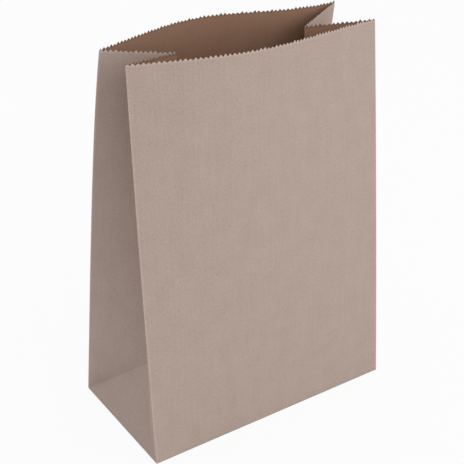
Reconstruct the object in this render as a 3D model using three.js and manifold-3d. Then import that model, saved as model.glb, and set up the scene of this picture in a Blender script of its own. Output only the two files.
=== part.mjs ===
// Brown paper lunch bag: one sheet of kraft paper, glued into a tube with pleated sides and a folded block bottom.
// Millimetres. The origin is the centre of the base, +Z is up, the front panel faces -Y and the left side -X.
import * as THREE from "three";
import { mergeVertices } from "three/addons/utils/BufferGeometryUtils.js";
import Module from "manifold-3d";

// Walls, measured along the paper
const WIDTH = 180; // front and back panels
const DEPTH = 90; // a side, opened flat
const HEIGHT = 245; // from the base fold to the middle of the teeth
const PAPER = 0.12; // thickness of one layer

// Cut edge round the mouth
const TOOTH_PITCH = 2.8;
const TOOTH_DEPTH = 1.4;

// Glued laps
const SEAM_LAP = 12; // the tube's seam, which runs up the back panel
const SEAM_FROM_RIGHT = 24; // from the back right fold to the seam
const BOTTOM_LAP = 20; // where the front and back flaps cover each other under the base
const BASE_RIM = 1; // along the base folds, before the layers step

// Top corners, in front of (-) or behind (+) the base's centre line
const MOUTH_FRONT_LEFT = -8.3;
const MOUTH_FRONT_RIGHT = -9.1;
const MOUTH_BACK_LEFT = 16.6;
const MOUTH_BACK_RIGHT = 28.2;

// How far the panels' top edges sit to the right of the base's centre
const FRONT_SHIFT = 1.7;
const BACK_SHIFT = 0.3;

// Bows of the panels' top edges: heights of one, two and three half waves from the left fold to the right
const FRONT_BOW = [18.1, 3.1, 0];
const BACK_BOW = [13.5, 4.7, -2.4];

// Back panel: how far it swells at half its height, and how far a crease across it, half a side's depth up,
// pinches it in, where the base was once folded flat against it
const BACK_SWELL = 1.7;
const BACK_PINCH = 0.6;

// Facets
const TEETH_PER_CELL = 4;
const UPPER_ROWS = 8;
const ARC_STEPS = 96;
const CHORD_ROUNDS = 12;

// Sizes that follow from those above
const LEAF = DEPTH / 2; // one half of a pleated side
const FLAP = LEAF + BOTTOM_LAP / 2; // paper below the base fold
const VALLEYS = HEIGHT - TOOTH_DEPTH / 2;
const BASE_LAYERS = 3;
const FLOOR = BASE_LAYERS * PAPER; // thickest stack of layers in the base

const { lerp } = THREE.MathUtils;
const wasm = await Module();
wasm.setup();

const FRONT = {
  out: -1,
  bow: FRONT_BOW,
  shift: FRONT_SHIFT,
  mouthLeft: MOUTH_FRONT_LEFT,
  mouthRight: MOUTH_FRONT_RIGHT,
  swell: 0,
  pinch: 0,
};
const BACK = {
  out: 1,
  bow: BACK_BOW,
  shift: BACK_SHIFT,
  mouthLeft: MOUTH_BACK_LEFT,
  mouthRight: MOUTH_BACK_RIGHT,
  swell: BACK_SWELL,
  pinch: BACK_PINCH,
};

function cellsIn(length) {
  return Math.max(1, Math.round(length / (TEETH_PER_CELL * TOOTH_PITCH)));
}

// Paper heights of the facets' rows: square cells up to the apex of the base triangles, then taller ones
function rowHeights() {
  const low = cellsIn(LEAF);
  const heights = [];
  for (let row = 0; row <= low; row++) {
    heights.push((LEAF * row) / low);
  }
  for (let row = 1; row <= UPPER_ROWS; row++) {
    heights.push(lerp(LEAF, VALLEYS, row / UPPER_ROWS));
  }
  return heights;
}

const ROWS = rowHeights();
const APEX_ROW = cellsIn(LEAF);
const TOP_ROW = ROWS.length - 1;

// A bowed line as long as the panel is wide, given as points along and away from its chord
function bowedLine(bow, share) {
  const away = (u) => share * bow.reduce((sum, size, k) => sum + size * Math.sin((k + 1) * Math.PI * u), 0);
  let chord = WIDTH;
  let points = [];
  let lengths = [];
  for (let round = 0; round < CHORD_ROUNDS; round++) {
    points = [new THREE.Vector2(0, 0)];
    lengths = [0];
    for (let step = 1; step <= ARC_STEPS; step++) {
      const u = step / ARC_STEPS;
      points.push(new THREE.Vector2(chord * u, away(u)));
      lengths.push(lengths[step - 1] + points[step].distanceTo(points[step - 1]));
    }
    chord += WIDTH - lengths[ARC_STEPS];
  }
  const at = (position) => {
    const step = Math.max(1, lengths.findIndex((length) => length >= position - 1e-6));
    const part = (position - lengths[step - 1]) / (lengths[step] - lengths[step - 1]);
    return points[step - 1].clone().lerp(points[step], part);
  };
  return { chord: points[ARC_STEPS].x, at };
}

// How far a panel stands out at paper height s from a straight lean between its foot and its top edge
function standOut(panel, s) {
  const share = s / HEIGHT;
  const towardsCrease = s < LEAF ? s / LEAF : (HEIGHT - s) / (HEIGHT - LEAF);
  return panel.out * (panel.swell * 4 * share * (1 - share) - panel.pinch * towardsCrease);
}

// A panel's outline in plan at paper height s, as a function of the paper's distance from the left fold
function panelOutline(panel, s) {
  const share = s / HEIGHT;
  const foot = (panel.out * DEPTH) / 2;
  const yLeft = lerp(foot, panel.mouthLeft, share) + standOut(panel, s);
  const yRight = lerp(foot, panel.mouthRight, share) + standOut(panel, s);
  const line = bowedLine(panel.bow, share);
  const span = Math.sqrt(line.chord ** 2 - (yRight - yLeft) ** 2);
  const left = new THREE.Vector2(panel.shift * share - span / 2, yLeft);
  const along = new THREE.Vector2(span, yRight - yLeft).divideScalar(line.chord);
  const outward = new THREE.Vector2(-along.y, along.x).multiplyScalar(panel.out);
  return (position) => {
    const point = line.at(position);
    return left.clone().addScaledVector(along, point.x).addScaledVector(outward, point.y);
  };
}

// Stands a column of paper on its foot: each step up is as long as the paper between the two rows
function raise(plan, firstRow, footHeight) {
  const column = [];
  let z = footHeight;
  plan.forEach((point, k) => {
    if (k > 0) {
      const paper = ROWS[firstRow + k] - ROWS[firstRow + k - 1];
      z += Math.sqrt(paper ** 2 - point.distanceToSquared(plan[k - 1]));
    }
    column.push(new THREE.Vector3(point.x, point.y, z));
  });
  return column;
}

const OUTLINES = new Map([
  [FRONT, ROWS.map((s) => panelOutline(FRONT, s))],
  [BACK, ROWS.map((s) => panelOutline(BACK, s))],
]);

function panelColumn(panel, position) {
  return raise(OUTLINES.get(panel).map((outline) => outline(position)), 0, 0);
}

// Columns of a stretch of a panel, from one paper position to another, without the last
function panelColumns(panel, from, to) {
  const cells = cellsIn(Math.abs(to - from));
  const columns = [];
  for (let k = 0; k < cells; k++) {
    columns.push(panelColumn(panel, lerp(from, to, k / cells)));
  }
  return columns;
}

// A pleated side: its inner crease rises from the apex of the flat triangle that stands on the base's short edge
function pleat(edge) {
  const position = edge < 0 ? 0 : WIDTH;
  const front = panelColumn(FRONT, position);
  const back = panelColumn(BACK, position);
  const plan = [];
  for (let row = APEX_ROW; row <= TOP_ROW; row++) {
    const a = new THREE.Vector2(front[row].x, front[row].y);
    const b = new THREE.Vector2(back[row].x, back[row].y);
    const half = a.distanceTo(b) / 2;
    const inward = new THREE.Vector2(b.y - a.y, a.x - b.x).normalize().multiplyScalar(-edge);
    plan.push(a.add(b).divideScalar(2).addScaledVector(inward, Math.sqrt(LEAF ** 2 - half ** 2)));
  }
  const baseMiddle = new THREE.Vector2((edge * WIDTH) / 2, 0);
  const apexHeight = Math.sqrt(LEAF ** 2 - plan[0].distanceToSquared(baseMiddle));
  return { front, back, crease: raise(plan, APEX_ROW, apexHeight) };
}

// Point of a leaf at a share of its width from its outer fold to the crease
function leafPoint(side, fold, row, share) {
  const outer = fold[row];
  if (row >= APEX_ROW) {
    return outer.clone().lerp(side.crease[row - APEX_ROW], share);
  }
  const rise = row / APEX_ROW;
  const foot = fold[0];
  const baseMiddle = side.front[0].clone().lerp(side.back[0], 0.5);
  const onTriangle = (along) => {
    const base = foot.clone().lerp(baseMiddle, along);
    return base.addScaledVector(side.crease[0].clone().sub(baseMiddle), rise);
  };
  if (share >= rise) {
    return onTriangle(share);
  }
  return outer.clone().lerp(onTriangle(rise), share / rise);
}

// Columns of one leaf, without the last; a leaf runs from its fold to the crease or back
function leafColumns(side, fold, toCrease) {
  const cells = APEX_ROW;
  const columns = [];
  for (let k = 0; k < cells; k++) {
    const share = toCrease ? k / cells : 1 - k / cells;
    columns.push(ROWS.map((_, row) => leafPoint(side, fold, row, share)));
  }
  return columns;
}

// The tube's columns, anticlockwise from the front left fold, each with the layers of paper after it
function tubeColumns() {
  const right = pleat(1);
  const left = pleat(-1);
  const seamStart = WIDTH - SEAM_FROM_RIGHT;
  const seamEnd = seamStart - SEAM_LAP;
  const stretches = [
    { layers: 1, rising: true, columns: panelColumns(FRONT, 0, WIDTH) },
    { layers: 1, rising: true, columns: leafColumns(right, right.front, true) },
    { layers: 1, rising: false, columns: leafColumns(right, right.back, false) },
    { layers: 1, rising: true, columns: panelColumns(BACK, WIDTH, seamStart) },
    { layers: 2, rising: true, columns: panelColumns(BACK, seamStart, seamEnd) },
    { layers: 1, rising: true, columns: panelColumns(BACK, seamEnd, 0) },
    { layers: 1, rising: true, columns: leafColumns(left, left.back, true) },
    { layers: 1, rising: false, columns: leafColumns(left, left.front, false) },
  ];
  return stretches.flatMap(({ layers, rising, columns }) => columns.map((points) => ({ layers, rising, points })));
}

const COLUMNS = tubeColumns();

function columnAt(k) {
  return COLUMNS[(k + COLUMNS.length) % COLUMNS.length];
}

// Inward step of one layer's thickness at a point, mitred between the faces on its two sides
function inwardStep(k, row) {
  const here = columnAt(k).points;
  const up = here[Math.min(row + 1, TOP_ROW)].clone().sub(here[Math.max(row - 1, 0)]);
  const before = here[row].clone().sub(columnAt(k - 1).points[row]).cross(up).normalize();
  const after = columnAt(k + 1).points[row].clone().sub(here[row]).cross(up).normalize();
  return before.clone().add(after).multiplyScalar(-PAPER / (1 + before.dot(after)));
}

// A column of the paper's face so many layers in from the outside; an inner face starts at the floor's top
function faceColumn(k, layers) {
  const { points } = columnAt(k);
  const column = points.map((point, row) => point.clone().addScaledVector(inwardStep(k, row), layers));
  if (layers > 0) {
    const share = (FLOOR - column[0].z) / (column[1].z - column[0].z);
    column[0].lerp(column[1], share);
  }
  return column;
}

// A face of the paper: its columns, and the zigzag of its cut edge over each cell
function paperFace(layers) {
  const columns = COLUMNS.map((_, k) => faceColumn(k, layers));
  const zigzags = columns.map((column, k) => {
    const next = columns[(k + 1) % columns.length];
    const rise = column[TOP_ROW].clone().sub(column[TOP_ROW - 1]).normalize().multiplyScalar(TOOTH_DEPTH);
    const zigzag = [];
    for (let half = 0; half <= 2 * TEETH_PER_CELL; half++) {
      const point = column[TOP_ROW].clone().lerp(next[TOP_ROW], half / (2 * TEETH_PER_CELL));
      zigzag.push(half % 2 === 1 ? point.add(rise) : point);
    }
    return zigzag;
  });
  return { columns, zigzags };
}

// The walls and a plain floor, as a closed skin of triangles
function cupGeometry() {
  const faces = [paperFace(0), paperFace(1), paperFace(2)];
  const corners = [];
  const triangle = (a, b, c) => corners.push(a, b, c);
  const quad = (a, b, c, d) => {
    triangle(a, b, c);
    triangle(a, c, d);
  };

  const groundCentre = new THREE.Vector3(0, 0, 0);
  const floorCentre = new THREE.Vector3(0, 0, FLOOR);

  // One cell of a face: rows of quads, a fan to the tooth valleys, and the teeth
  const cell = (face, k, rising, add) => {
    const here = face.columns[k];
    const next = face.columns[(k + 1) % COLUMNS.length];
    for (let row = 0; row < TOP_ROW - 1; row++) {
      if (rising) {
        add(here[row], next[row], next[row + 1]);
        add(here[row], next[row + 1], here[row + 1]);
      } else {
        add(here[row], next[row], here[row + 1]);
        add(next[row], next[row + 1], here[row + 1]);
      }
    }
    const zigzag = face.zigzags[k];
    const middle = TEETH_PER_CELL;
    add(here[TOP_ROW - 1], next[TOP_ROW - 1], zigzag[middle]);
    for (let valley = 0; valley < zigzag.length - 2; valley += 2) {
      const foot = valley < middle ? here[TOP_ROW - 1] : next[TOP_ROW - 1];
      add(foot, zigzag[valley + 2], zigzag[valley]);
      add(zigzag[valley], zigzag[valley + 2], zigzag[valley + 1]);
    }
  };

  COLUMNS.forEach(({ layers, rising }, k) => {
    const next = (k + 1) % COLUMNS.length;
    cell(faces[0], k, rising, triangle);
    cell(faces[layers], k, rising, (a, b, c) => triangle(a, c, b));
    for (let layer = 0; layer < layers; layer++) {
      const outer = faces[layer];
      const inner = faces[layer + 1];
      for (let half = 0; half < 2 * TEETH_PER_CELL; half++) {
        const [a, b] = [outer.zigzags[k][half], outer.zigzags[k][half + 1]];
        quad(a, b, inner.zigzags[k][half + 1], inner.zigzags[k][half]);
      }
    }
    triangle(groundCentre, faces[0].columns[next][0], faces[0].columns[k][0]);
    triangle(floorCentre, faces[layers].columns[k][0], faces[layers].columns[next][0]);
    const layersBefore = columnAt(k - 1).layers;
    if (layers !== layersBefore) {
      const before = faces[layersBefore].columns[k];
      const after = faces[layers].columns[k];
      triangle(floorCentre, before[0], after[0]);
      for (let row = 0; row < TOP_ROW; row++) {
        quad(after[row], before[row], before[row + 1], after[row + 1]);
      }
    }
  });
  return new THREE.BufferGeometry().setFromPoints(corners);
}

function solidOf(geometry) {
  geometry.deleteAttribute("normal");
  geometry.deleteAttribute("uv");
  const merged = mergeVertices(geometry, PAPER / 100);
  return new wasm.Manifold(
    new wasm.Mesh({
      numProp: 3,
      vertProperties: new Float32Array(merged.getAttribute("position").array),
      triVerts: new Uint32Array(merged.getIndex().array),
    }),
  );
}

// A cutter with a flat outline, between two levels that are counted in layers of paper from the ground
function cutter(outline, low, high) {
  const shape = new THREE.Shape(outline.map(([x, y]) => new THREE.Vector2(x, y)));
  const geometry = new THREE.ExtrudeGeometry(shape, { depth: (high - low) * PAPER, bevelEnabled: false });
  return solidOf(geometry.translate(0, 0, low * PAPER));
}

// What the block bottom leaves free of its stack of layers: the front flap is outermost, the back flap lies on it,
// and the two side flaps lie on both. Flaps meet the sides at 45 degree folds from the base's corners.
function baseCutters() {
  const x = WIDTH / 2;
  const y = DEPTH / 2;
  const below = -1;
  const above = BASE_LAYERS + 1;
  const clear = y - BASE_RIM;
  const opening = x - FLAP;
  const freeEdge = BOTTOM_LAP / 2;
  const besideFrontFlap = [
    [BASE_RIM - x, -clear],
    [-opening, freeEdge],
    [opening, freeEdge],
    [x - BASE_RIM, -clear],
    [x - BASE_RIM, clear],
    [BASE_RIM - x, clear],
  ];
  const endTriangle = (edge) => [
    [edge * (x - BASE_RIM), -clear],
    [edge * (x - BASE_RIM), clear],
    [edge * (x - y), 0],
  ];
  const betweenSides = (back) => [
    [-opening, -clear],
    [opening, -clear],
    [opening, back],
    [-opening, back],
  ];
  return [
    cutter(besideFrontFlap, below, 1),
    cutter(endTriangle(-1), below, 2),
    cutter(endTriangle(1), below, 2),
    cutter(betweenSides(clear), 2, above),
    cutter(betweenSides(-freeEdge), 1, above),
  ];
}

function bagGeometry() {
  const solid = baseCutters().reduce((rest, cut) => rest.subtract(cut), solidOf(cupGeometry()));
  const mesh = solid.getMesh();
  const geometry = new THREE.BufferGeometry();
  geometry.setAttribute("position", new THREE.BufferAttribute(new Float32Array(mesh.vertProperties), 3));
  geometry.setIndex(new THREE.BufferAttribute(new Uint32Array(mesh.triVerts), 1));
  geometry.computeVertexNormals();
  return geometry;
}

const kraftPaper = new THREE.MeshStandardMaterial({ color: 0xb2a096, roughness: 0.9, metalness: 0 });
const bag = new THREE.Mesh(bagGeometry(), kraftPaper);
bag.name = "bag";

const group = new THREE.Group();
group.add(bag);
export default group;
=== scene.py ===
"""Looks of a brown paper lunch bag: one sheet of kraft paper, folded and glued, standing open.

The sheet runs from its inner seam edge on the back panel, round the left side, the front and the right
side, and back over the seam. Lengths in the shape code are millimetres; the mesh is in metres.
"""

import math
from dataclasses import dataclass

import bpy
import numpy as np
from mathutils import Matrix, Vector


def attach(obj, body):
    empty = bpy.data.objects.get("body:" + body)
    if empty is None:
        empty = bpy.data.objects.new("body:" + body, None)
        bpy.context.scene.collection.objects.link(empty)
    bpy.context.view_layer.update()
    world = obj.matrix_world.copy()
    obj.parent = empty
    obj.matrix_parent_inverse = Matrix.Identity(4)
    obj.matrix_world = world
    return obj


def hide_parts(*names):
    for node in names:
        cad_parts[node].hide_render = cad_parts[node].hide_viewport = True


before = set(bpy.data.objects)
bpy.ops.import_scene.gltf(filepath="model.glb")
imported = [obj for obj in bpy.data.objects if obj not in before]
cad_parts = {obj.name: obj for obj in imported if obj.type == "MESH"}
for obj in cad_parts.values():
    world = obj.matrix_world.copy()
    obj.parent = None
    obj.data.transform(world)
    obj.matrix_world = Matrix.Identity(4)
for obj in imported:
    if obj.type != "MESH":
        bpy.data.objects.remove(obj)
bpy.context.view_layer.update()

MM = 0.001

# The sheet, as in the CAD part, with a pitch that gives 64 whole teeth across the width
WIDTH = 180.0
DEPTH = 90.0
HEIGHT = 245.0
PAPER = 0.12
TOOTH_PITCH = 2.8125
TOOTH_DEPTH = 1.4
SEAM_LAP = 12.0
SEAM_FROM_RIGHT = 24.0
BOTTOM_LAP = 20.0
LEAF = DEPTH / 2
FLAP = LEAF + BOTTOM_LAP / 2
VALLEYS = HEIGHT - TOOTH_DEPTH / 2
SEAM_INNER = WIDTH - SEAM_FROM_RIGHT
SEAM_OUTER = SEAM_INNER - SEAM_LAP

# Mesh: extra lines beside each fold, rows above the base triangles, points along a bowed edge
NEAR_FOLD = 0.3
FOLD_REACH = 0.8
UPPER_ROWS = 57
ARC_STEPS = 400
CHORD_ROUNDS = 12

# Folded base: pitch of the stacked layers, and each flap's place in the stack, counted from the ground
LAYER = 0.15
FRONT_FLAP = 0
FRONT_CORNER = 1
BACK_FLAP = 2
BACK_CORNER = 5
SIDE_FLAP = 6
FLAP_INSET = 0.6
FLAP_EASE = 2.0
FLAP_RISE = 6.0
BACK_FLAP_RISE = 25.0
FOLD_BULGE = 0.1
SEAM_EASE = 6.0

# Slack in the pleated sides, and how far the back left fold stands out below its top corner
LEAF_SWELL = 4.6
SWELL_RISE = 8.0
SWELL_FADE = 35.0
SWELL_REACH = 6.0
FOLD_SLACK = 1.1

# Teeth of the cut edge: lean of a tip, and the ranges of a tooth's size and of its shoulders
TOOTH_LEAN = 0.12
TOOTH_SIZES = (0.65, 1.2)
TOOTH_SHOULDERS = (0.3, 0.64)
RANDOM = np.random.default_rng(11)

# Faces: longest mitre at a fold, angle that counts as sharp, farthest distance to a fold that is kept
MITRE_LIMIT = 0.15
SHARP_ANGLE = math.radians(50)
FOLD_CAP = 10.0


@dataclass(frozen=True)
class Panel:
    """A wide wall: which way it faces, its bows, and how far its top corners are behind the base's centre.

    Swell and pinch move the wall out and in between its edges, and slack moves its left fold below the mouth.
    """

    out: int
    bow: tuple
    shift: float
    mouth_left: float
    mouth_right: float
    swell: float
    pinch: float
    slack: float
    flap_level: int
    corner_level: int


FRONT = Panel(-1, (18.1, 3.1, 0.0), 1.7, -8.3, -9.1, 0.0, 0.0, 0.0, FRONT_FLAP, FRONT_CORNER)
BACK = Panel(1, (13.5, 3.7, -2.4), 0.3, 17.2, 28.2, 1.7, 0.6, FOLD_SLACK, BACK_FLAP, BACK_CORNER)


def lerp(a, b, t):
    return a + (b - a) * t


def ease(x):
    x = np.clip(x, 0, 1)
    return x * x * (3 - 2 * x)


def unit(v):
    return v / np.maximum(np.linalg.norm(v, axis=-1, keepdims=True), 1e-12)


# Lines of the mesh along the paper

BESIDE_FOLD = [NEAR_FOLD, FOLD_REACH]
SEAM_LINES = [SEAM_FROM_RIGHT, SEAM_FROM_RIGHT + SEAM_LAP]


def multiples(length):
    """The valleys of the cut edge along a length that starts at one."""
    return TOOTH_PITCH * np.arange(round(length / TOOTH_PITCH) + 1)


def leaf_lines():
    beside = np.array(BESIDE_FOLD)
    return np.unique(np.round(np.concatenate([multiples(LEAF), beside, LEAF - beside]), 6))


def panel_lines():
    extra = np.array(BESIDE_FOLD + SEAM_LINES + [FLAP])
    return np.unique(np.round(np.concatenate([multiples(WIDTH), extra, WIDTH - extra]), 6))


def flap_lines():
    extra = np.array(BESIDE_FOLD + SEAM_LINES + [FLAP])
    whole = multiples(FLAP)
    return np.unique(np.round(np.concatenate([whole[(whole > 0) & (whole < FLAP)], extra]), 6))


LEAF_LINES = leaf_lines()
PANEL_LINES = panel_lines()
FLAP_LINES = flap_lines()
UPPER = lerp(LEAF, VALLEYS, np.arange(1, UPPER_ROWS + 1) / UPPER_ROWS)
WALL_ROWS = np.concatenate([LEAF_LINES, LEAF + np.array(BESIDE_FOLD), UPPER])
APEX_ROW = len(LEAF_LINES) - 1
ROWS = np.concatenate([-FLAP_LINES[::-1], WALL_ROWS])
BASE_ROW = len(FLAP_LINES)


# Walls

def bowed_line(bow, share):
    """A bowed line as long as a panel is wide: points along its chord, away from it, and lengths along it."""
    u = np.linspace(0, 1, ARC_STEPS + 1)
    away = share * sum(size * np.sin((k + 1) * np.pi * u) for k, size in enumerate(bow))
    chord = WIDTH
    for _ in range(CHORD_ROUNDS):
        along = chord * u
        lengths = np.concatenate([[0], np.cumsum(np.hypot(np.diff(along), np.diff(away)))])
        chord += WIDTH - lengths[-1]
    return along, away, lengths


def stand_out(panel, s):
    """How far a panel stands out at paper height s from a straight lean between its foot and its top edge."""
    share = s / HEIGHT
    towards_crease = s / LEAF if s < LEAF else (HEIGHT - s) / (HEIGHT - LEAF)
    return panel.out * (panel.swell * 4 * share * (1 - share) - panel.pinch * towards_crease)


def panel_plan(panel, s, positions):
    """Points of a panel in plan at paper height s."""
    share = s / HEIGHT
    foot = panel.out * DEPTH / 2
    y_left = lerp(foot, panel.mouth_left, share) + stand_out(panel, s)
    y_left += panel.slack * math.sin(math.pi * share ** 3)
    y_right = lerp(foot, panel.mouth_right, share) + stand_out(panel, s)
    along, away, lengths = bowed_line(panel.bow, share)
    chord = along[-1]
    span = math.sqrt(chord ** 2 - (y_right - y_left) ** 2)
    left = np.array([panel.shift * share - span / 2, y_left])
    forward = np.array([span, y_right - y_left]) / chord
    outward = panel.out * np.array([-forward[1], forward[0]])
    on_chord = np.interp(positions, lengths, along)
    off_chord = np.interp(positions, lengths, away)
    return left + on_chord[:, None] * forward + off_chord[:, None] * outward


def raised(plan, rows, foot):
    """Stands columns of paper on their feet: each step up is as long as the paper between the two rows."""
    run = np.linalg.norm(np.diff(plan, axis=0), axis=-1)
    paper = np.diff(rows)[:, None]
    climb = np.sqrt(np.maximum(paper ** 2 - run ** 2, 0))
    z = foot + np.concatenate([np.zeros((1, plan.shape[1])), np.cumsum(climb, axis=0)])
    return np.concatenate([plan, z[..., None]], axis=-1)


def panel_wall(panel, positions):
    plan = np.stack([panel_plan(panel, s, positions) for s in WALL_ROWS])
    return raised(plan, WALL_ROWS, 0.0)


def leaf_swell(positions):
    """How far a leaf stands out above the 45 degree fold: steep at that fold, then fading."""
    above = np.maximum(WALL_ROWS[:, None] - positions, 0)
    from_diagonal = (1 - np.exp(-above / SWELL_RISE)) * np.exp(-above / SWELL_FADE)
    from_folds = ease(positions / SWELL_REACH) * (1 - positions / LEAF)
    return LEAF_SWELL * from_diagonal * from_folds


class Pleat:
    """A pleated side: its two folds, and the crease that rises from the apex of the flat triangle."""

    def __init__(self, edge):
        self.edge = edge
        position = np.array([0.0 if edge < 0 else WIDTH])
        self.front = panel_wall(FRONT, position)[:, 0]
        self.back = panel_wall(BACK, position)[:, 0]
        a = self.front[APEX_ROW:, :2]
        b = self.back[APEX_ROW:, :2]
        across = b - a
        half = np.linalg.norm(across, axis=1) / 2
        inward = -edge * unit(np.stack([across[:, 1], -across[:, 0]], axis=1))
        plan = (a + b) / 2 + inward * np.sqrt(LEAF ** 2 - half ** 2)[:, None]
        self.base_middle = (self.front[0] + self.back[0]) / 2
        apex_height = math.sqrt(LEAF ** 2 - np.sum((plan[0] - self.base_middle[:2]) ** 2))
        self.crease = raised(plan[:, None], WALL_ROWS[APEX_ROW:], apex_height)[:, 0]

    def wall(self, fold, positions):
        """Points of a leaf at paper distances from its outer fold."""
        share = positions / LEAF
        leaf = np.zeros((len(WALL_ROWS), len(positions), 3))
        up_triangle = self.crease[0] - self.base_middle
        for row, s in enumerate(WALL_ROWS):
            if row >= APEX_ROW:
                leaf[row] = lerp(fold[row], self.crease[row - APEX_ROW], share[:, None])
                continue
            rise = s / LEAF
            flat = lerp(fold[0], self.base_middle, share[:, None]) + rise * up_triangle
            on_diagonal = lerp(fold[0], self.base_middle, rise) + rise * up_triangle
            above = lerp(fold[row], on_diagonal, (share / max(rise, 1e-9))[:, None])
            leaf[row] = np.where((share >= rise - 1e-9)[:, None], flat, above)
        leaf[..., 0] += self.edge * leaf_swell(positions)
        return leaf


# Base flaps, as rows of outer and inner points below the base fold

def inset(plan, depth):
    """Draws flaps in from the base's edges, clear of the walls that they lie between."""
    share = np.clip(depth / FLAP_EASE, 0, 1)[..., None] * FLAP_INSET
    return plan * (1 - share / np.array([WIDTH / 2, DEPTH / 2]))


def panel_flap(panel, positions, inner_layer):
    """A front or back flap with its tucked corners, which turn over along 45 degree folds."""
    depth = np.broadcast_to(FLAP_LINES[::-1, None], (len(FLAP_LINES), len(positions)))
    c = np.broadcast_to(positions, depth.shape)
    from_edge = np.minimum(c, WIDTH - c)
    side = np.where(c < WIDTH / 2, -1.0, 1.0)
    beyond = depth - from_edge
    tucked = beyond > 1e-6
    folded = np.abs(beyond) <= 1e-6
    x = np.where(tucked, side * (WIDTH / 2 - depth), c - WIDTH / 2)
    y = panel.out * (DEPTH / 2 - np.where(tucked, from_edge, depth))
    flap_z = LAYER * (panel.flap_level * ease(depth / BACK_FLAP_RISE) + inner_layer)
    corner_z = LAYER * (panel.corner_level - inner_layer) * ease(depth / FLAP_RISE)
    outer_z = np.where(tucked, corner_z + PAPER, flap_z)
    inner_z = np.where(tucked, corner_z, flap_z + PAPER)
    middle_z = (flap_z + corner_z + PAPER) / 2
    outer_z = np.where(folded, middle_z, outer_z)
    inner_z = np.where(folded, middle_z, inner_z)
    plan = inset(np.stack([x, y], axis=-1), depth)
    past_fold = np.stack([side, np.full_like(side, -panel.out)], axis=-1) * folded[..., None]
    plan += past_fold * LAYER * (1 - inner_layer[:, None])
    outer = np.concatenate([plan + past_fold * FOLD_BULGE, outer_z[..., None]], axis=-1)
    inner = np.concatenate([plan, inner_z[..., None]], axis=-1)
    return outer, inner


def side_flap(edge, y):
    """A side flap, the innermost layer of the base."""
    depth = np.broadcast_to(FLAP_LINES[::-1, None], (len(FLAP_LINES), len(y)))
    x = edge * (WIDTH / 2 - depth)
    plan = inset(np.stack([x, np.broadcast_to(y, depth.shape)], axis=-1), depth)
    z = LAYER * SIDE_FLAP * ease(depth / FLAP_RISE)
    outer = np.concatenate([plan, z[..., None]], axis=-1)
    inner = np.concatenate([plan, z[..., None] + PAPER], axis=-1)
    return outer, inner


# The sheet's stretches from seam edge to seam edge

@dataclass
class Stretch:
    """Columns between two folds: outer points of all rows, inner points of the flaps, and facts for the mesh."""

    outer: np.ndarray
    inner_flap: np.ndarray
    positions: np.ndarray
    to_fold: np.ndarray
    to_diagonal: np.ndarray


# A distance for places with no fold near, the folds beside a panel, and how faint the back's crease is
FAR = 1e3
PANEL_FOLDS = (0, 2, 3, 5)
FAINT_FOLD = 0.9


def panel_stretch(panel, positions, inner_layer):
    wall = panel_wall(panel, positions)
    wall[..., 1] -= panel.out * LAYER * inner_layer
    flap_outer, flap_inner = panel_flap(panel, positions, inner_layer)
    from_edge = np.minimum(positions, WIDTH - positions)
    to_diagonal = np.full((len(ROWS), len(positions)), FAR)
    to_diagonal[:BASE_ROW] = from_edge - FLAP_LINES[::-1, None]
    outer = np.concatenate([flap_outer, wall])
    to_fold = np.tile(from_edge, (len(ROWS), 1))
    to_fold[:BASE_ROW] = np.minimum(to_fold[:BASE_ROW], np.abs(to_diagonal[:BASE_ROW]) / math.sqrt(2))
    if panel is BACK:
        to_fold = np.minimum(to_fold, np.abs(ROWS - LEAF)[:, None] + FAINT_FOLD)
    return Stretch(outer, flap_inner, positions, to_fold, to_diagonal)


def leaf_stretch(pleat, edge, at_back, from_fold):
    positions = LEAF_LINES if from_fold else LEAF_LINES[::-1]
    wall = pleat.wall(pleat.back if at_back else pleat.front, positions)
    y = (LEAF - positions) * (1 if at_back else -1)
    flap_outer, flap_inner = side_flap(edge, y)
    to_fold = np.tile(positions, (len(ROWS), 1))
    creased = slice(BASE_ROW + APEX_ROW, None)
    to_fold[creased] = np.minimum(positions, LEAF - positions)
    to_diagonal = np.full((len(ROWS), len(positions)), FAR)
    triangle_rows = slice(BASE_ROW, BASE_ROW + APEX_ROW + 1)
    to_diagonal[triangle_rows] = positions - LEAF_LINES[:, None]
    return Stretch(np.concatenate([flap_outer, wall]), flap_inner, positions, to_fold, to_diagonal)


def sheet_stretches():
    left = Pleat(-1)
    right = Pleat(1)
    down = PANEL_LINES[::-1]
    back_start = down[down <= SEAM_INNER + 1e-6]
    back_end = down[down >= SEAM_OUTER - 1e-6]
    under_seam = ease((back_start - SEAM_OUTER + SEAM_EASE) / SEAM_EASE)
    return [
        panel_stretch(BACK, back_start, under_seam),
        leaf_stretch(left, -1, True, True),
        leaf_stretch(left, -1, False, False),
        panel_stretch(FRONT, PANEL_LINES, np.zeros(len(PANEL_LINES))),
        leaf_stretch(right, 1, False, True),
        leaf_stretch(right, 1, True, False),
        panel_stretch(BACK, back_end, np.zeros(len(back_end))),
    ]


def joined(stretches, pick):
    """Joins the stretches' columns; a fold's column is the mean of the two stretches that meet there."""
    parts = [pick(stretch) for stretch in stretches]
    columns = [parts[0]]
    for part in parts[1:]:
        columns[-1][:, -1] = (columns[-1][:, -1] + part[:, 0]) / 2
        columns.append(part[:, 1:].copy())
    return np.concatenate(columns, axis=1)


def inward_steps(outer):
    """Steps of one paper thickness from the outer to the inner face, mitred at each column."""
    up = np.gradient(outer, axis=0)
    forward = np.diff(outer, axis=1)
    ahead = np.concatenate([forward, forward[:, -1:]], axis=1)
    behind = np.concatenate([forward[:, :1], forward], axis=1)
    before = unit(np.cross(behind, up))
    after = unit(np.cross(ahead, up))
    cosine = np.sum(before * after, axis=-1, keepdims=True)
    return -PAPER * (before + after) / np.maximum(1 + cosine, MITRE_LIMIT)


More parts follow.
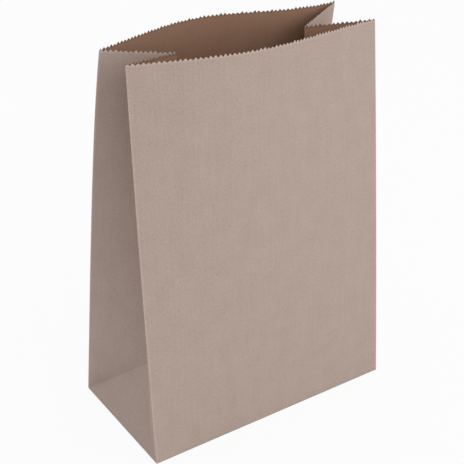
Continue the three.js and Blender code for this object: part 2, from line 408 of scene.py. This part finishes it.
def rounded(points, line, along_rows):
    """Rounds a fold: the lines beside it move onto a curve between the two that end the rounding."""
    grid = points if along_rows else np.swapaxes(points, 0, 1)
    low = grid[line - 2].copy()
    fold = grid[line].copy()
    high = grid[line + 2].copy()
    offsets = [-NEAR_FOLD, 0, NEAR_FOLD]
    for k, offset in zip((line - 1, line, line + 1), offsets):
        t = 0.5 + offset / (2 * FOLD_REACH)
        grid[k] = (1 - t) ** 2 * low + 2 * t * (1 - t) * fold + t ** 2 * high


def folded_sheet():
    """Outer and inner points of the whole sheet, with the facts that the material and the cut edges need."""
    stretches = sheet_stretches()
    folds = np.cumsum([len(stretch.positions) - 1 for stretch in stretches])[:-1]
    outer = joined(stretches, lambda stretch: stretch.outer.copy())
    flap_inner = joined(stretches, lambda stretch: stretch.inner_flap.copy())
    inner = outer + inward_steps(outer)
    inner[:BASE_ROW] = flap_inner
    for k in PANEL_FOLDS:
        fold_y = inner[:BASE_ROW, folds[k], 1]
        fold_y += np.sign(fold_y) * FOLD_BULGE * ease(FLAP_LINES[::-1] / FLAP_EASE)
    for fold in folds:
        rounded(outer[BASE_ROW:], fold, False)
        rounded(inner[BASE_ROW:], fold, False)
    rounded(outer, BASE_ROW, True)
    rounded(inner, BASE_ROW, True)
    along = [np.abs(np.diff(stretch.positions)) for stretch in stretches]
    travel = np.concatenate([[0], np.cumsum(np.concatenate(along))])
    valley = np.concatenate([stretch.positions[min(k, 1):] for k, stretch in enumerate(stretches)])
    valley = np.abs(valley / TOOTH_PITCH - np.round(valley / TOOTH_PITCH)) < 1e-4
    to_fold = joined(stretches, lambda stretch: stretch.to_fold.copy())
    first = [stretches[0].to_diagonal] + [stretch.to_diagonal[:, 1:] for stretch in stretches[1:]]
    to_diagonal = np.concatenate(first, axis=1)
    return outer, inner, travel, valley, to_fold, to_diagonal


class SheetMesh:
    """Collects the vertices and faces of the sheet's outer skin; the inner skin repeats them in reverse."""

    def __init__(self):
        self.outer, self.inner, self.travel, self.valley, to_fold, self.to_diagonal = folded_sheet()
        rows, columns = self.outer.shape[:2]
        self.columns = columns
        self.points = [self.outer.reshape(-1, 3)]
        self.inner_points = [self.inner.reshape(-1, 3)]
        paper = np.stack(np.meshgrid(self.travel, ROWS), axis=-1).reshape(-1, 2)
        self.paper = [paper]
        self.to_fold = [to_fold.reshape(-1)]
        self.count = rows * columns
        self.faces = []
        self.creases = []

    def vertex(self, row, column):
        return row * self.columns + column

    def add_grid(self):
        on_fold = np.abs(self.to_diagonal) < 1e-5
        for row in range(len(ROWS) - 1):
            for column in range(self.columns - 1):
                a = self.vertex(row, column)
                b = self.vertex(row, column + 1)
                c = self.vertex(row + 1, column + 1)
                d = self.vertex(row + 1, column)
                if on_fold[row, column] and on_fold[row + 1, column + 1]:
                    self.faces += [(a, b, c), (a, c, d)]
                    self.creases.append((a, c))
                elif on_fold[row, column + 1] and on_fold[row + 1, column]:
                    self.faces += [(a, b, d), (b, c, d)]
                    self.creases.append((b, d))
                else:
                    self.faces.append((a, b, c, d))

    def add_teeth(self, edge_row, next_row):
        """Zigzag along the cut edge: a tooth between each two valleys, each a little different."""
        valleys = np.flatnonzero(self.valley)
        upward = edge_row > next_row
        for first, last in zip(valleys[:-1], valleys[1:]):
            columns = np.arange(first, last + 1)
            lean = RANDOM.uniform(-TOOTH_LEAN, TOOTH_LEAN)
            size = RANDOM.uniform(*TOOTH_SIZES)
            left, right = RANDOM.uniform(*TOOTH_SHOULDERS, 2)
            if np.any(np.abs(self.to_diagonal[edge_row, columns]) < TOOTH_PITCH):
                continue
            shares = np.array([0.25, 0.5 + lean, 0.75])
            heights = TOOTH_DEPTH * size * np.array([left, 1.0, right])
            base = [self.vertex(edge_row, column) for column in columns]
            at = lerp(self.travel[first], self.travel[last], shares)
            for points, store in ((self.outer, self.points), (self.inner, self.inner_points)):
                feet = self.along(points[edge_row, columns], columns, at)
                up = unit(feet - self.along(points[next_row, columns], columns, at))
                store.append(feet + up * heights[:, None])
            s = ROWS[edge_row] + heights * (1 if upward else -1)
            self.paper.append(np.stack([at, s], axis=-1))
            self.to_fold.append(np.full(3, FAR))
            tips = [self.count, self.count + 1, self.count + 2]
            self.count += 3
            rim = [tips[0], *base, tips[2]]
            for a, b in zip(rim[:-1], rim[1:]):
                self.faces.append((tips[1], a, b) if upward else (tips[1], b, a))

    def along(self, points, columns, at):
        travel = self.travel[columns]
        return np.stack([np.interp(at, travel, points[:, k]) for k in range(3)], axis=-1)

    def add_rim(self):
        """Adds the inner skin, with the outer one's triangles, and closes both along the cut edges."""
        edges = set()
        for face in self.faces:
            edges.update(zip(face, face[1:] + face[:1]))
        border = [(a, b) for a, b in edges if (b, a) not in edges]
        border.sort()
        skin = [tuple(v + self.count for v in face[:1] + face[:0:-1]) for face in self.faces]
        rim = [(b, a, a + self.count, b + self.count) for a, b in border]
        self.faces = self.faces + skin + rim

    def build(self, name):
        self.add_grid()
        self.add_teeth(len(ROWS) - 1, len(ROWS) - 2)
        self.add_teeth(0, 1)
        self.add_rim()
        points = np.concatenate(self.points + self.inner_points) * MM
        mesh = bpy.data.meshes.new(name)
        mesh.from_pydata(points.tolist(), [], self.faces)
        mesh.shade_smooth()
        mesh.set_sharp_from_angle(angle=SHARP_ANGLE)
        self.mark_creases(mesh)
        self.store(mesh)
        mesh.validate()
        return mesh

    def mark_creases(self, mesh):
        creases = {frozenset(pair) for pair in self.creases}
        creases |= {frozenset((a + self.count, b + self.count)) for a, b in self.creases}
        sharp = mesh.attributes["sharp_edge"].data
        for edge in mesh.edges:
            if frozenset(edge.vertices) in creases:
                sharp[edge.index].value = True

    def store(self, mesh):
        """Keeps each vertex's place on the paper, which skin it is on, and how far it is from a fold."""
        paper = np.concatenate(self.paper) * MM
        side = np.repeat([0.0, 1.0], self.count)
        place = np.column_stack([np.tile(paper, (2, 1)), side])
        attribute = mesh.attributes.new("paper", "FLOAT_VECTOR", "POINT")
        attribute.data.foreach_set("vector", place.astype(np.float32).ravel())
        fold = np.tile(np.concatenate(self.to_fold), 2)
        attribute = mesh.attributes.new("fold", "FLOAT", "POINT")
        attribute.data.foreach_set("value", np.minimum(fold, FOLD_CAP).astype(np.float32))


# Material: colours of the two faces, sizes of its marks in millimetres, and how much each changes the tone

OUTER_COLOUR = (0.416, 0.321, 0.278, 1)
# The inner face has its own colour, and is also painted darker and redder as shade inside the bag
INNER_COLOUR_AND_SHADE = (0.345, 0.198, 0.128, 1)
GRAIN_SIZE = 1.0
CLOUD_SIZE = 14.0
STREAK_SIZE = 1.6
FLECK_SIZE = 2.2
FIBRE_SIZE = 5.0
GRAIN_TONE = 0.31
CLOUD_TONE = 0.13
STREAK_TONE = 0.09
FLECK_TONE = -0.14
FIBRE_TONE = 0.07
# Folds are lighter partly from worn fibres and partly as a painted highlight on the rounded folds
FOLD_WEAR_AND_HIGHLIGHT = 0.19
# Tips: the outer ones are lighter fibre ends, the inner ones are darker as painted shade
OUTER_TIP_TONE = 0.32
INNER_TIP_SHADE = -0.5
FOLD_MARK = (0.5, 1.7)
TIP_MARK = (VALLEYS - 0.8, HEIGHT + 0.3)
BUMP_STRENGTH = 0.4
BUMP_DEPTH = 0.1
ROUGHNESS = (0.95, 0.82)


class Shading:
    """Adds nodes to a material: an input given as a socket is linked, and any other value is set."""

    def __init__(self, material):
        material.use_nodes = True
        self.tree = material.node_tree

    def node(self, kind, inputs, **settings):
        node = self.tree.nodes.new(kind)
        for name, value in settings.items():
            setattr(node, name, value)
        for key, value in inputs.items():
            if isinstance(value, bpy.types.NodeSocket):
                self.tree.links.new(value, node.inputs[key])
            else:
                node.inputs[key].default_value = value
        return node

    def math(self, operation, *values):
        return self.node("ShaderNodeMath", dict(enumerate(values)), operation=operation).outputs[0]

    def stretched(self, place, scale):
        return self.node("ShaderNodeVectorMath", {0: place, 1: scale}, operation="MULTIPLY").outputs["Vector"]

    def noise(self, place, size, detail):
        inputs = {"Vector": place, "Scale": 1 / (size * MM), "Detail": detail}
        return self.node("ShaderNodeTexNoise", inputs).outputs["Fac"]

    def cell_edges(self, place, size):
        inputs = {"Vector": place, "Scale": 1 / (size * MM)}
        return self.node("ShaderNodeTexVoronoi", inputs, feature="DISTANCE_TO_EDGE").outputs["Distance"]

    def ramp(self, value, low, high, at_low, at_high):
        inputs = {"Value": value, "From Min": low, "From Max": high, "To Min": at_low, "To Max": at_high}
        return self.node("ShaderNodeMapRange", inputs).outputs["Result"]

    def mixed(self, share, a, b, blend):
        node = self.node("ShaderNodeMix", {0: share, 6: a, 7: b}, data_type="RGBA", blend_type=blend)
        return node.outputs[2]


def kraft_paper():
    """Brown kraft paper: grain, clouds, streaks up the sheet, flecks, fibres and lighter outer tips.

    Folds are lighter from wear and a painted highlight; the inner face and inner tips carry painted shade.
    """
    material = bpy.data.materials.new("kraft_paper")
    shade = Shading(material)
    place = shade.node("ShaderNodeAttribute", {}, attribute_name="paper").outputs["Vector"]
    to_fold = shade.node("ShaderNodeAttribute", {}, attribute_name="fold").outputs["Fac"]
    parts = shade.node("ShaderNodeSeparateXYZ", {0: place})
    height = parts.outputs["Y"]
    side = parts.outputs["Z"]

    grain = shade.noise(shade.stretched(place, (1, 0.75, 1)), GRAIN_SIZE, 3)
    cloud = shade.noise(place, CLOUD_SIZE, 3)
    streak = shade.noise(shade.stretched(place, (1, 0.04, 1)), STREAK_SIZE, 1)
    fleck = shade.ramp(shade.noise(place, FLECK_SIZE, 1), 0.7, 0.75, 0, 1)
    some = shade.ramp(shade.noise(place, 3 * FIBRE_SIZE, 1), 0.5, 0.6, 0, 1)
    fibre = shade.ramp(shade.cell_edges(place, FIBRE_SIZE), 0, 0.03, 1, 0)
    fibre = shade.math("MULTIPLY", fibre, some)
    # Lighter along the folds: partly wear, partly a painted highlight
    fold = shade.ramp(to_fold, *FOLD_MARK, 1, 0)
    fold = shade.math("MULTIPLY", fold, shade.ramp(grain, 0.3, 0.6, 0.4, 1.2))
    # Cut-edge tips: the outer ones are lighter fibre ends, the inner ones are darker as painted shade
    tip_fibres_and_shade = shade.ramp(height, TIP_MARK[0] * MM, TIP_MARK[1] * MM, 0, 1)
    tip_fibres_and_shade = shade.math("MULTIPLY", tip_fibres_and_shade, shade.ramp(side, 0, 1, OUTER_TIP_TONE, INNER_TIP_SHADE))

    tone = shade.math("ADD", tip_fibres_and_shade, 1 - (GRAIN_TONE + CLOUD_TONE + STREAK_TONE) / 2)
    tones = [(grain, GRAIN_TONE), (cloud, CLOUD_TONE), (streak, STREAK_TONE)]
    tones += [(fleck, FLECK_TONE), (fibre, FIBRE_TONE), (fold, FOLD_WEAR_AND_HIGHLIGHT)]
    for mark, amount in tones:
        tone = shade.math("MULTIPLY_ADD", mark, amount, tone)
    # The inner face's colour holds painted shade as well as its own tone
    face = shade.mixed(side, OUTER_COLOUR, INNER_COLOUR_AND_SHADE, "MIX")
    colour = shade.mixed(1.0, face, tone, "MULTIPLY")

    relief = shade.math("MULTIPLY_ADD", streak, 0.5, grain)
    relief = shade.math("MULTIPLY_ADD", fibre, 0.4, relief)
    bump_inputs = {"Height": relief, "Strength": BUMP_STRENGTH, "Distance": BUMP_DEPTH * MM}
    bump = shade.node("ShaderNodeBump", bump_inputs)
    shader = shade.tree.nodes["Principled BSDF"]
    links = shade.tree.links
    links.new(colour, shader.inputs["Base Color"])
    links.new(shade.ramp(grain, 0.3, 0.7, *ROUGHNESS), shader.inputs["Roughness"])
    links.new(bump.outputs["Normal"], shader.inputs["Normal"])
    return material


bag_mesh = SheetMesh().build("bag_paper")
bag_mesh.materials.append(kraft_paper())
bag = bpy.data.objects.new("bag_paper", bag_mesh)
bpy.context.scene.collection.objects.link(bag)
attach(bag, "root")
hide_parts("bag")


# Studio: lengths in metres

FLOOR_HALF = 4.0
FLOOR_DROP = 0.0002
FLOOR_COLOUR = (0.78, 0.78, 0.78, 1)
WHITE = (1, 1, 1, 1)
WHITE_SHARE = 0.93
SKY_LEVEL = 0.85
LAMP_PLACE = (0.3, -0.98, 0.56)
LAMP_AIM = (0.0, 0.0, 0.2)
LAMP_SIZE = 0.9
LAMP_POWER = 3.2


def seen_directly(shade):
    """One for what the camera sees, also in gloss or through glass."""
    path = shade.node("ShaderNodeLightPath", {})
    seen = path.outputs["Is Camera Ray"]
    for ray in ("Is Glossy Ray", "Is Transmission Ray"):
        seen = shade.math("MAXIMUM", seen, path.outputs[ray])
    return seen


def floor_object():
    half = FLOOR_HALF
    corners = [(-half, -half, 0), (half, -half, 0), (half, half, 0), (-half, half, 0)]
    mesh = bpy.data.meshes.new("floor")
    mesh.from_pydata(corners, [], [(0, 1, 2, 3)])
    material = bpy.data.materials.new("floor")
    shade = Shading(material)
    shade.tree.nodes.clear()
    diffuse = shade.node("ShaderNodeBsdfDiffuse", {"Color": FLOOR_COLOUR})
    white = shade.node("ShaderNodeEmission", {"Color": WHITE})
    share = shade.math("MULTIPLY", seen_directly(shade), WHITE_SHARE)
    mix = shade.node("ShaderNodeMixShader", {0: share, 1: diffuse.outputs[0], 2: white.outputs[0]})
    shade.node("ShaderNodeOutputMaterial", {"Surface": mix.outputs[0]})
    mesh.materials.append(material)
    floor = bpy.data.objects.new("floor", mesh)
    floor.location.z = -FLOOR_DROP
    bpy.context.scene.collection.objects.link(floor)


def studio_world():
    world = bpy.data.worlds.new("studio")
    bpy.context.scene.world = world
    shade = Shading(world)
    shade.tree.nodes.clear()
    soft = shade.node("ShaderNodeBackground", {"Color": WHITE, "Strength": SKY_LEVEL})
    white = shade.node("ShaderNodeBackground", {"Color": WHITE})
    seen = seen_directly(shade)
    mix = shade.node("ShaderNodeMixShader", {0: seen, 1: soft.outputs[0], 2: white.outputs[0]})
    shade.node("ShaderNodeOutputWorld", {"Surface": mix.outputs[0]})


def area_light(name, place, aim, size, power):
    data = bpy.data.lights.new(name, "AREA")
    data.shape = "DISK"
    data.size = size
    data.energy = power
    lamp = bpy.data.objects.new(name, data)
    lamp.location = place
    lamp.rotation_mode = "QUATERNION"
    lamp.rotation_quaternion = (Vector(aim) - Vector(place)).to_track_quat("-Z", "Y")
    bpy.context.scene.collection.objects.link(lamp)


# Camera: fitted to the photo's outlines

CAMERA_AZIMUTH = math.radians(-35.75)
CAMERA_ELEVATION = math.radians(28.404)
CAMERA_ROLL = math.radians(1.99)
CAMERA_DISTANCE = 0.62047
CAMERA_TARGET = Vector((-0.00698, 0.0, 0.11706))
CAMERA_LENS = 76.48


def photo_camera():
    a = CAMERA_AZIMUTH
    e = CAMERA_ELEVATION
    back = Vector((math.sin(a) * math.cos(e), -math.cos(a) * math.cos(e), math.sin(e)))
    level = Vector((math.cos(a), math.sin(a), 0))
    steep = back.cross(level)
    right = level * math.cos(CAMERA_ROLL) + steep * math.sin(CAMERA_ROLL)
    up = steep * math.cos(CAMERA_ROLL) - level * math.sin(CAMERA_ROLL)
    turn = Matrix((right, up, back)).transposed()
    data = bpy.data.cameras.new("camera")
    data.sensor_width = 36.0
    data.lens = CAMERA_LENS
    data.clip_start = 0.01
    data.clip_end = 50.0
    camera = bpy.data.objects.new("camera", data)
    camera.matrix_world = Matrix.Translation(CAMERA_TARGET + back * CAMERA_DISTANCE) @ turn.to_4x4()
    bpy.context.scene.collection.objects.link(camera)
    bpy.context.scene.camera = camera


floor_object()
studio_world()
area_light("key", LAMP_PLACE, LAMP_AIM, LAMP_SIZE, LAMP_POWER)
photo_camera()
bpy.context.scene.view_settings.view_transform = "Standard"
